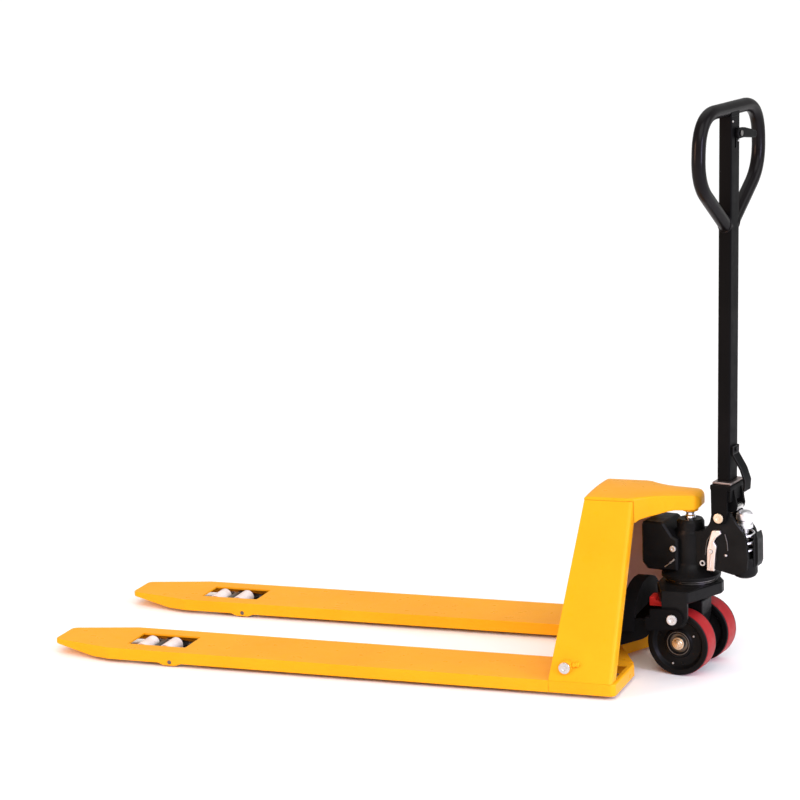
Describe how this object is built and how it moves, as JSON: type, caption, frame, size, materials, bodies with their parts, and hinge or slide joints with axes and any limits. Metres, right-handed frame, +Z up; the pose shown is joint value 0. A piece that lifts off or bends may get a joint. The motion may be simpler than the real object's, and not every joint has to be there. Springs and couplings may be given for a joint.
{
  "type": "hand pallet truck",
  "caption": "Low-profile hand pallet truck with two thin forks, tandem load rollers, a hydraulic pump, red steering wheels and an upright tiller with a loop handle.",
  "frame": {"origin": "on the floor under the middle of the whole truck, forks lowered", "axes": "+Z up; the forks point along -X; Y is across the forks, and Y = 0 is their middle plane"},
  "size_m": [1.5244, 0.55, 1.1814],
  "materials": {
    "yellow_paint": "gloss",
    "black_paint": "semi gloss",
    "cast_black": "satin",
    "red_polyurethane": "satin",
    "steel": "satin",
    "chrome": "polished",
    "cast_zinc": "satin",
    "zinc_yellow": "satin",
    "nylon": "matte"
  },
  "bodies": {
    "frame": {"fork_left": "yellow_paint", "heel_left": "yellow_paint", "side_plate_left": "yellow_paint", "pivot_pin_left": "steel", "bracket_pin_left": "steel", "fork_right": "yellow_paint", "heel_right": "yellow_paint", "side_plate_right": "yellow_paint", "pivot_pin_right": "steel", "bracket_pin_right": "steel", "front_panel": "yellow_paint", "floor_plate": "yellow_paint", "head_cover": "yellow_paint", "head_seat": "yellow_paint", "piston_rod": "chrome"},
    "rocker": {"rocker_arm": "black_paint", "base_pin_left": "steel", "base_pin_right": "steel"},
    "base": {"base_bracket": "cast_black", "thrust_bearing": "steel", "buffer": "red_polyurethane"},
    "steering": {"axle_bracket": "cast_black", "wheel_axle": "steel", "axle_nut_left": "zinc_yellow", "axle_nut_right": "zinc_yellow", "pump_body": "cast_black", "filler_plug": "cast_zinc", "valve_ring": "steel", "pivot_bolt": "steel", "release_pin": "steel"},
    "plunger_set": {"plunger": "steel", "plunger_cap": "chrome", "plunger_spring": "steel"},
    "release": {"release_lever": "cast_zinc"},
    "tiller": {"tiller_yoke": "black_paint", "mast": "black_paint", "mast_flange": "steel", "loop_handle": "black_paint", "lever_screw": "steel", "rod_guide": "black_paint", "guide_rivet": "black_paint"},
    "press_roller_body": {"press_roller": "steel"},
    "lever": {"control_lever": "black_paint"},
    "pull": {"pull_rod": "cast_zinc"},
    "rod_left": {"push_rod_left": "black_paint"},
    "bracket_left": {"roller_bracket_left": "steel"},
    "bogie_left": {"roller_bogie_left": "steel"},
    "wheel_left": {"wheel_hub_left": "cast_black", "wheel_tread_left": "red_polyurethane", "wheel_bearing_left": "steel"},
    "roller_front_left": {"load_roller_front_left": "nylon"},
    "roller_rear_left": {"load_roller_rear_left": "nylon"},
    "rod_right": {"push_rod_right": "black_paint"},
    "bracket_right": {"roller_bracket_right": "steel"},
    "bogie_right": {"roller_bogie_right": "steel"},
    "wheel_right": {"wheel_hub_right": "cast_black", "wheel_tread_right": "red_polyurethane", "wheel_bearing_right": "steel"},
    "roller_front_right": {"load_roller_front_right": "nylon"},
    "roller_rear_right": {"load_roller_rear_right": "nylon"}
  },
  "joints": [
    {"name": "lift", "type": "slide", "parent": "base", "child": "frame", "axis": [0, 0, 1], "range_m": [0, 0.05]},
    {"name": "rocker_pivot", "type": "hinge", "parent": "frame", "child": "rocker", "pos_m": [0.4118, 0, 0.06], "axis": [0, 1, 0], "range_deg": [0, 15.1]},
    {"name": "push_rod_left_slide", "type": "slide", "parent": "frame", "child": "rod_left", "axis": [-1, 0, 0], "range_m": [0, 0.0102]},
    {"name": "roller_bracket_left_pivot", "type": "hinge", "parent": "frame", "child": "bracket_left", "pos_m": [-0.4712, -0.195, 0.01], "axis": [0, -1, 0], "range_deg": [0, 52]},
    {"name": "roller_bogie_left_pivot", "type": "hinge", "parent": "bracket_left", "child": "bogie_left", "pos_m": [-0.5322, -0.195, 0.0165], "axis": [0, -1, 0], "range_deg": [-52, 0]},
    {"name": "load_roller_front_left_spin", "type": "hinge", "parent": "bogie_left", "child": "roller_front_left", "pos_m": [-0.5602, -0.195, 0.0165], "axis": [0, 1, 0], "continuous": true},
    {"name": "load_roller_rear_left_spin", "type": "hinge", "parent": "bogie_left", "child": "roller_rear_left", "pos_m": [-0.5042, -0.195, 0.0165], "axis": [0, 1, 0], "continuous": true},
    {"name": "push_rod_right_slide", "type": "slide", "parent": "frame", "child": "rod_right", "axis": [-1, 0, 0], "range_m": [0, 0.0102]},
    {"name": "roller_bracket_right_pivot", "type": "hinge", "parent": "frame", "child": "bracket_right", "pos_m": [-0.4712, 0.195, 0.01], "axis": [0, -1, 0], "range_deg": [0, 52]},
    {"name": "roller_bogie_right_pivot", "type": "hinge", "parent": "bracket_right", "child": "bogie_right", "pos_m": [-0.5322, 0.195, 0.0165], "axis": [0, -1, 0], "range_deg": [-52, 0]},
    {"name": "load_roller_front_right_spin", "type": "hinge", "parent": "bogie_right", "child": "roller_front_right", "pos_m": [-0.5602, 0.195, 0.0165], "axis": [0, 1, 0], "continuous": true},
    {"name": "load_roller_rear_right_spin", "type": "hinge", "parent": "bogie_right", "child": "roller_rear_right", "pos_m": [-0.5042, 0.195, 0.0165], "axis": [0, 1, 0], "continuous": true},
    {"name": "steer", "type": "hinge", "parent": "base", "child": "steering", "pos_m": [0.6098, 0, 0.187], "axis": [0, 0, 1], "range_deg": [-81.2, 98.8]},
    {"name": "wheel_left_spin", "type": "hinge", "parent": "steering", "child": "wheel_left", "pos_m": [0.60139, -0.05435, 0.0675], "axis": [0.153, 0.9882, 0], "continuous": true},
    {"name": "wheel_right_spin", "type": "hinge", "parent": "steering", "child": "wheel_right", "pos_m": [0.61821, 0.05435, 0.0675], "axis": [0.153, 0.9882, 0], "continuous": true},
    {"name": "tiller_tilt", "type": "hinge", "parent": "steering", "child": "tiller", "pos_m": [0.68935, -0.01231, 0.334], "axis": [0.153, 0.9882, 0], "range_deg": [0, 69], "stiffness_Nm_per_rad": 16, "springref_deg": -17.19},
    {"name": "plunger_stroke", "type": "slide", "parent": "steering", "child": "plunger_set", "axis": [0, 0, -1], "range_m": [0, 0.0361], "deforming": ["plunger_spring"]},
    {"name": "press_roller_spin", "type": "hinge", "parent": "tiller", "child": "press_roller_body", "pos_m": [0.71341, -0.01604, 0.35154], "axis": [0.153, 0.9882, 0], "continuous": true},
    {"name": "control_lever_tilt", "type": "hinge", "parent": "tiller", "child": "lever", "pos_m": [0.72442, -0.0137, 1.11848], "axis": [0.988, -0.153, -0.0192], "range_deg": [-14, 14]},
    {"name": "pull_rod_slide", "type": "slide", "parent": "tiller", "child": "pull", "axis": [0.019, -0.0029, 0.9998], "range_m": [-0.0065, 0.0065]},
    {"name": "release_lever_tilt", "type": "hinge", "parent": "steering", "child": "release", "pos_m": [0.66518, -0.04753, 0.262], "axis": [0.153, 0.9882, 0], "range_deg": [-6, 6]}
  ],
  "couplings": [
    {"joint": "rocker_pivot", "follows": "lift", "rad_per_m": 5.2089},
    {"joint": "push_rod_left_slide", "follows": "lift", "ratio": 0.2},
    {"joint": "roller_bracket_left_pivot", "follows": "lift", "rad_per_m": 17.886},
    {"joint": "roller_bogie_left_pivot", "follows": "lift", "rad_per_m": -17.886},
    {"joint": "push_rod_right_slide", "follows": "lift", "ratio": 0.2},
    {"joint": "roller_bracket_right_pivot", "follows": "lift", "rad_per_m": 17.886},
    {"joint": "roller_bogie_right_pivot", "follows": "lift", "rad_per_m": -17.886},
    {"joint": "plunger_stroke", "follows": "tiller_tilt", "m_per_rad": 0.029466},
    {"joint": "pull_rod_slide", "follows": "control_lever_tilt", "m_per_rad": 0.025},
    {"joint": "release_lever_tilt", "follows": "control_lever_tilt", "ratio": 0.4}
  ]
}
